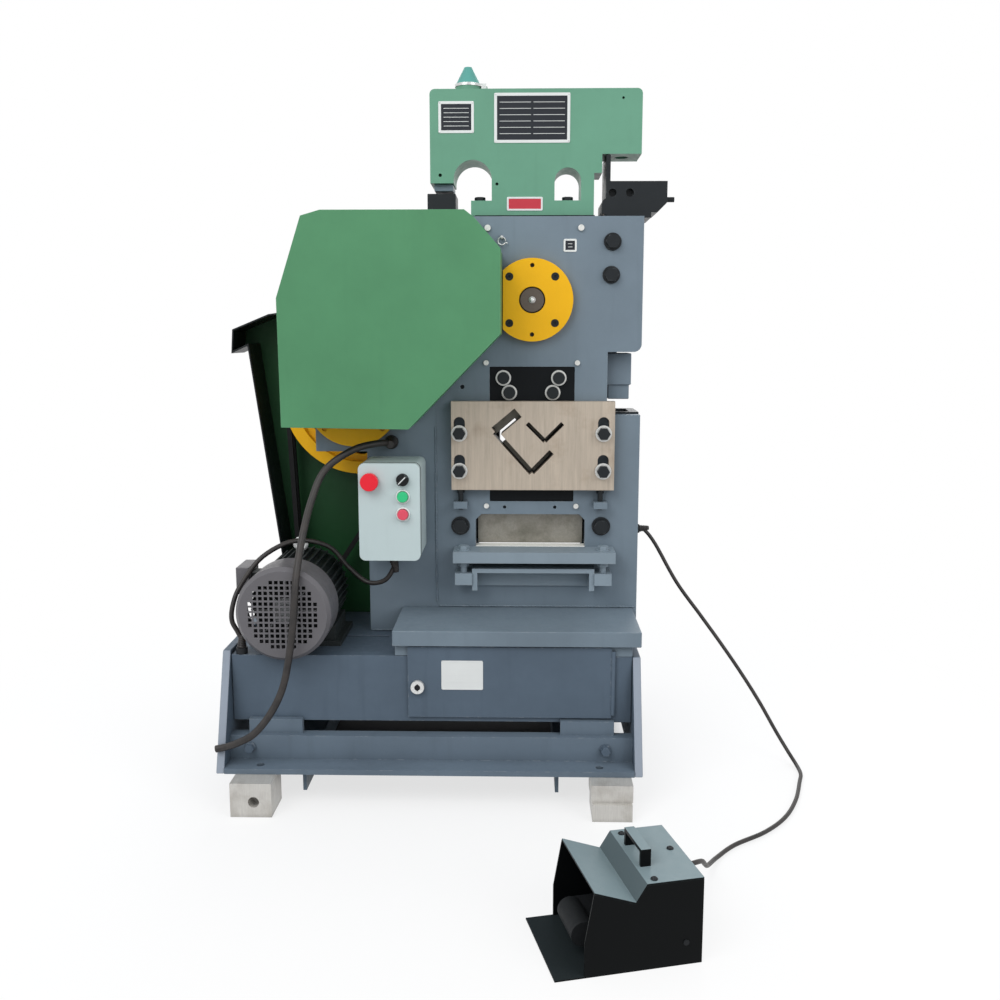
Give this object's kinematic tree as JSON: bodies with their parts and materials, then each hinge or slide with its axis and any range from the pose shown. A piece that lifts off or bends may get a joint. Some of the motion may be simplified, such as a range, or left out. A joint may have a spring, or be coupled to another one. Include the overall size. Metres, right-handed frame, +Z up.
{
  "type": "ironworker machine",
  "caption": "Mechanical ironworker with a crank-driven ram for punching, notching, section and flat-bar shearing, a geared belt drive and a foot switch on a cable.",
  "frame": {"origin": "centre of the foundation bolt pattern, on the floor", "axes": "+X to the operator's right, +Y to the back, +Z up"},
  "size_m": [1.363, 1.5159, 1.6414],
  "materials": {
    "frame_paint": "satin",
    "base_paint": "satin",
    "head_paint": "satin",
    "guard_paint": "satin",
    "back_paint": "satin",
    "yellow_paint": "satin",
    "black_steel": "black oxide",
    "black_paint": "gloss black",
    "ground_steel": "ground",
    "bright_steel": "machined",
    "gear_steel": "hobbed",
    "bronze": "machined",
    "cast": "painted casting",
    "cowl_paint": "satin",
    "belt_rubber": "matte",
    "box_shell": "satin",
    "red": "gloss",
    "pale_red": "gloss",
    "green": "gloss",
    "black_plastic": "matte",
    "cord": "matte",
    "lid_paint": "satin"
  },
  "bodies": {
    "frame": {"front_plate": "frame_paint", "rear_plate": "frame_paint", "frame_spacers": "frame_paint", "ram_gibs": "bronze", "drive_bracket": "frame_paint", "base_box": "base_paint", "base_ledge": "frame_paint", "end_plates": "base_paint", "base_rails": "base_paint", "packers": "bright_steel", "base_bolts": "base_paint", "die_holder": "black_steel", "lower_tools": "black_steel", "section_holder": "black_steel", "front_bolts": "black_steel", "strip_blade_lower": "bright_steel", "table_bar": "frame_paint", "table_bracket": "frame_paint", "bearing_flange": "yellow_paint", "crank_bushes": "bronze", "bearing_caps": "yellow_paint", "drive_guard": "guard_paint", "gear_guard": "frame_paint", "belt_guard": "black_paint", "belt_back": "back_paint", "v_belts": "belt_rubber", "motor_body": "cast", "motor_cowl": "cowl_paint", "terminal_box": "cowl_paint", "control_box": "box_shell", "pedal_base": "black_paint", "pedal_hood": "black_paint", "glands": "black_plastic", "pedal_cable": "cord", "power_tail": "cord", "motor_lead": "cord"},
    "door": {"tool_door": "base_paint"},
    "lock": {"door_lock": "bright_steel"},
    "ram": {"ram_block": "black_steel", "punch_head": "head_paint", "head_bolts": "black_steel", "strip_blade_upper": "ground_steel", "section_blade": "ground_steel", "ram_tools": "frame_paint", "oil_cup": "head_paint"},
    "oil_lid": {"oil_lid": "lid_paint"},
    "section": {"section_plate": "ground_steel", "jack_screws": "black_steel"},
    "crank": {"crank_shaft": "gear_steel", "crank_gear": "gear_steel"},
    "counter": {"counter_shaft": "gear_steel", "counter_gear": "gear_steel"},
    "fly": {"flywheel": "yellow_paint", "flywheel_shaft": "gear_steel"},
    "rotor": {"motor_rotor": "gear_steel"},
    "e_stop": {"e_stop": "red"},
    "start_button": {"start_button": "green"},
    "stop_button": {"stop_button": "pale_red"},
    "selector": {"selector": "black_plastic"},
    "treadle": {"pedal_treadle": "black_plastic"}
  },
  "joints": [
    {"name": "ram_slide", "type": "slide", "parent": "frame", "child": "ram", "axis": [0, 0, 1], "range_m": [0, 0.028]},
    {"name": "fly_spin", "type": "hinge", "parent": "frame", "child": "fly", "pos_m": [-0.193, 0, 0.88], "axis": [0, 1, 0], "continuous": true},
    {"name": "counter_spin", "type": "hinge", "parent": "frame", "child": "counter", "pos_m": [-0.10361, 0, 1.09192], "axis": [0, 1, 0], "continuous": true},
    {"name": "crank_spin", "type": "hinge", "parent": "frame", "child": "crank", "pos_m": [0.224, 0, 1.108], "axis": [0, 1, 0], "continuous": true},
    {"name": "rotor_spin", "type": "hinge", "parent": "frame", "child": "rotor", "pos_m": [-0.319, 0, 0.426], "axis": [0, 1, 0], "continuous": true},
    {"name": "section_adjust", "type": "slide", "parent": "frame", "child": "section", "axis": [0, 0, 1], "range_m": [-0.015, 0]},
    {"name": "door_hinge", "type": "hinge", "parent": "frame", "child": "door", "pos_m": [0.407, -0.3354, 0.25], "axis": [0, 0, 1], "range_deg": [0, 95]},
    {"name": "lock_turn", "type": "hinge", "parent": "door", "child": "lock", "pos_m": [-0.03, -0.336, 0.251], "axis": [0, 1, 0], "range_deg": [-90, 0]},
    {"name": "oil_lid_hinge", "type": "hinge", "parent": "ram", "child": "oil_lid", "pos_m": [0.114, -0.03, 1.595], "axis": [0, 1, 0], "range_deg": [0, 100]},
    {"name": "e_stop_press", "type": "slide", "parent": "frame", "child": "e_stop", "axis": [0, 1, 0], "range_m": [0, 0.004], "stiffness_N_per_m": 400, "springref_m": -0.002},
    {"name": "start_button_press", "type": "slide", "parent": "frame", "child": "start_button", "axis": [0, 1, 0], "range_m": [0, 0.004], "stiffness_N_per_m": 400, "springref_m": -0.002},
    {"name": "stop_button_press", "type": "slide", "parent": "frame", "child": "stop_button", "axis": [0, 1, 0], "range_m": [0, 0.004], "stiffness_N_per_m": 400, "springref_m": -0.002},
    {"name": "selector_turn", "type": "hinge", "parent": "frame", "child": "selector", "pos_m": [-0.064, -0.275, 0.71], "axis": [0, 1, 0], "range_deg": [-90, 0]},
    {"name": "treadle_hinge", "type": "hinge", "parent": "frame", "child": "treadle", "pos_m": [0.45309, -0.89329, 0.04], "axis": [-0.2419, 0.9703, 0], "range_deg": [-6, 0], "stiffness_Nm_per_rad": 60, "springref_deg": 4.58}
  ],
  "couplings": [
    {"joint": "counter_spin", "follows": "fly_spin", "ratio": -0.22667},
    {"joint": "crank_spin", "follows": "fly_spin", "ratio": 0.093793},
    {"joint": "rotor_spin", "follows": "fly_spin", "ratio": 5.2319}
  ]
}
